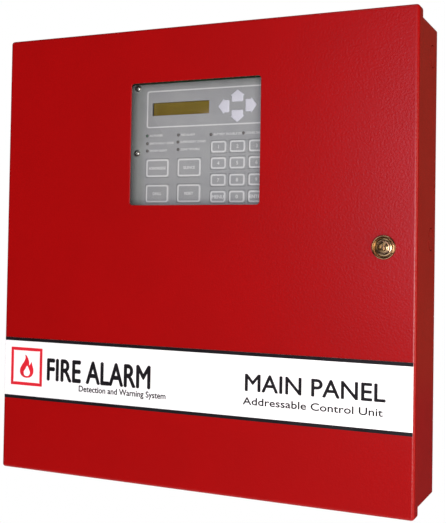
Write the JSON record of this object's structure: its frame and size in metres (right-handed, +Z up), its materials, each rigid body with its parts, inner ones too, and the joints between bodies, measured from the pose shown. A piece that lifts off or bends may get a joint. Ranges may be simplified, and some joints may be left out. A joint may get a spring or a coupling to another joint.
{
  "type": "fire alarm control panel",
  "caption": "Wall-mounted red steel cabinet with a hinged, key-locked door; its window shows a keypad and text display on a control board, above standby batteries.",
  "frame": {"origin": "centre of the cabinet's back face, on the wall", "axes": "+Z up, +Y into the wall, so the door faces -Y; +X to the right of someone facing the panel, hinges on the -X side"},
  "size_m": [0.4472, 0.095, 0.4572],
  "materials": {
    "red_enamel": "semi-gloss powder coat with a fine orange-peel texture",
    "zinc_plate": "bright zinc plate",
    "brass": "polished",
    "circuit_board": "satin solder mask",
    "black_plastic": "moulded, lightly textured",
    "key_grey": "satin overlay with pale printed outlines",
    "keypad_plate": "satin overlay on sheet metal",
    "label_white": "printed vinyl",
    "clear_pane": "clear polycarbonate",
    "display_module": "display under a metal bezel",
    "terminal_green": "moulded",
    "black_aluminium": "black anodised",
    "core_steel": "varnished laminations",
    "coil_tape": "polyester tape",
    "ribbon_grey": "ribbed insulation",
    "red_insulation": "satin",
    "yellow_insulation": "satin",
    "blue_insulation": "satin"
  },
  "bodies": {
    "cabinet": {"back_box": "red_enamel", "battery_jumper": "blue_insulation", "battery_lead_black": "black_plastic", "battery_lead_red": "red_insulation", "battery_left": "black_plastic", "battery_right": "black_plastic", "heat_sink": "black_aluminium", "hinge_leaf_lower": "zinc_plate", "hinge_leaf_upper": "zinc_plate", "hinge_pin_lower": "zinc_plate", "hinge_pin_upper": "zinc_plate", "keypad_board": "circuit_board", "keypad_plate": "keypad_plate", "keypad_post_1": "zinc_plate", "keypad_post_2": "zinc_plate", "keypad_post_3": "zinc_plate", "keypad_post_4": "zinc_plate", "latch_strike": "zinc_plate", "lcd_module": "display_module", "main_board": "circuit_board", "ribbon_cable": "ribbon_grey", "sounder": "black_plastic", "terminal_strip_lower": "terminal_green", "terminal_strip_upper": "terminal_green", "transformer_coil": "coil_tape", "transformer_core": "core_steel", "transformer_lead_a": "yellow_insulation", "transformer_lead_b": "blue_insulation"},
    "door": {"door_shell": "red_enamel", "window_pane": "clear_pane", "window_retainer": "zinc_plate", "label_band": "label_white", "door_leaf_upper": "zinc_plate", "door_leaf_lower": "zinc_plate", "lock_body": "brass", "lock_nut": "zinc_plate"},
    "lock_core": {"lock_plug": "brass", "lock_cam": "zinc_plate", "cam_screw": "zinc_plate"},
    "key_up": {"key_up": "key_grey"},
    "key_right": {"key_right": "key_grey"},
    "key_down": {"key_down": "key_grey"},
    "key_left": {"key_left": "key_grey"},
    "key_acknowledge": {"key_acknowledge": "key_grey"},
    "key_silence": {"key_silence": "key_grey"},
    "key_drill": {"key_drill": "key_grey"},
    "key_reset": {"key_reset": "key_grey"},
    "key_1": {"key_1": "key_grey"},
    "key_2": {"key_2": "key_grey"},
    "key_3": {"key_3": "key_grey"},
    "key_4": {"key_4": "key_grey"},
    "key_5": {"key_5": "key_grey"},
    "key_6": {"key_6": "key_grey"},
    "key_7": {"key_7": "key_grey"},
    "key_8": {"key_8": "key_grey"},
    "key_9": {"key_9": "key_grey"},
    "key_star": {"key_star": "key_grey"},
    "key_0": {"key_0": "key_grey"},
    "key_hash": {"key_hash": "key_grey"}
  },
  "joints": [
    {"name": "door_hinge", "type": "hinge", "parent": "cabinet", "child": "door", "pos_m": [-0.2221, -0.0747, 0], "axis": [0, 0, -1], "range_deg": [0, 150]},
    {"name": "lock_turn", "type": "hinge", "parent": "door", "child": "lock_core", "pos_m": [0.1924, -0.092, 0.0114], "axis": [0, -1, 0], "range_deg": [0, 90]},
    {"name": "key_up_press", "type": "slide", "parent": "cabinet", "child": "key_up", "axis": [0, 1, 0], "range_m": [0, 0.0005], "stiffness_N_per_m": 2000, "springref_m": -0.0005},
    {"name": "key_right_press", "type": "slide", "parent": "cabinet", "child": "key_right", "axis": [0, 1, 0], "range_m": [0, 0.0005], "stiffness_N_per_m": 2000, "springref_m": -0.0005},
    {"name": "key_down_press", "type": "slide", "parent": "cabinet", "child": "key_down", "axis": [0, 1, 0], "range_m": [0, 0.0005], "stiffness_N_per_m": 2000, "springref_m": -0.0005},
    {"name": "key_left_press", "type": "slide", "parent": "cabinet", "child": "key_left", "axis": [0, 1, 0], "range_m": [0, 0.0005], "stiffness_N_per_m": 2000, "springref_m": -0.0005},
    {"name": "key_acknowledge_press", "type": "slide", "parent": "cabinet", "child": "key_acknowledge", "axis": [0, 1, 0], "range_m": [0, 0.0005], "stiffness_N_per_m": 2000, "springref_m": -0.0005},
    {"name": "key_silence_press", "type": "slide", "parent": "cabinet", "child": "key_silence", "axis": [0, 1, 0], "range_m": [0, 0.0005], "stiffness_N_per_m": 2000, "springref_m": -0.0005},
    {"name": "key_drill_press", "type": "slide", "parent": "cabinet", "child": "key_drill", "axis": [0, 1, 0], "range_m": [0, 0.0005], "stiffness_N_per_m": 2000, "springref_m": -0.0005},
    {"name": "key_reset_press", "type": "slide", "parent": "cabinet", "child": "key_reset", "axis": [0, 1, 0], "range_m": [0, 0.0005], "stiffness_N_per_m": 2000, "springref_m": -0.0005},
    {"name": "key_1_press", "type": "slide", "parent": "cabinet", "child": "key_1", "axis": [0, 1, 0], "range_m": [0, 0.0005], "stiffness_N_per_m": 2000, "springref_m": -0.0005},
    {"name": "key_2_press", "type": "slide", "parent": "cabinet", "child": "key_2", "axis": [0, 1, 0], "range_m": [0, 0.0005], "stiffness_N_per_m": 2000, "springref_m": -0.0005},
    {"name": "key_3_press", "type": "slide", "parent": "cabinet", "child": "key_3", "axis": [0, 1, 0], "range_m": [0, 0.0005], "stiffness_N_per_m": 2000, "springref_m": -0.0005},
    {"name": "key_4_press", "type": "slide", "parent": "cabinet", "child": "key_4", "axis": [0, 1, 0], "range_m": [0, 0.0005], "stiffness_N_per_m": 2000, "springref_m": -0.0005},
    {"name": "key_5_press", "type": "slide", "parent": "cabinet", "child": "key_5", "axis": [0, 1, 0], "range_m": [0, 0.0005], "stiffness_N_per_m": 2000, "springref_m": -0.0005},
    {"name": "key_6_press", "type": "slide", "parent": "cabinet", "child": "key_6", "axis": [0, 1, 0], "range_m": [0, 0.0005], "stiffness_N_per_m": 2000, "springref_m": -0.0005},
    {"name": "key_7_press", "type": "slide", "parent": "cabinet", "child": "key_7", "axis": [0, 1, 0], "range_m": [0, 0.0005], "stiffness_N_per_m": 2000, "springref_m": -0.0005},
    {"name": "key_8_press", "type": "slide", "parent": "cabinet", "child": "key_8", "axis": [0, 1, 0], "range_m": [0, 0.0005], "stiffness_N_per_m": 2000, "springref_m": -0.0005},
    {"name": "key_9_press", "type": "slide", "parent": "cabinet", "child": "key_9", "axis": [0, 1, 0], "range_m": [0, 0.0005], "stiffness_N_per_m": 2000, "springref_m": -0.0005},
    {"name": "key_star_press", "type": "slide", "parent": "cabinet", "child": "key_star", "axis": [0, 1, 0], "range_m": [0, 0.0005], "stiffness_N_per_m": 2000, "springref_m": -0.0005},
    {"name": "key_0_press", "type": "slide", "parent": "cabinet", "child": "key_0", "axis": [0, 1, 0], "range_m": [0, 0.0005], "stiffness_N_per_m": 2000, "springref_m": -0.0005},
    {"name": "key_hash_press", "type": "slide", "parent": "cabinet", "child": "key_hash", "axis": [0, 1, 0], "range_m": [0, 0.0005], "stiffness_N_per_m": 2000, "springref_m": -0.0005}
  ]
}
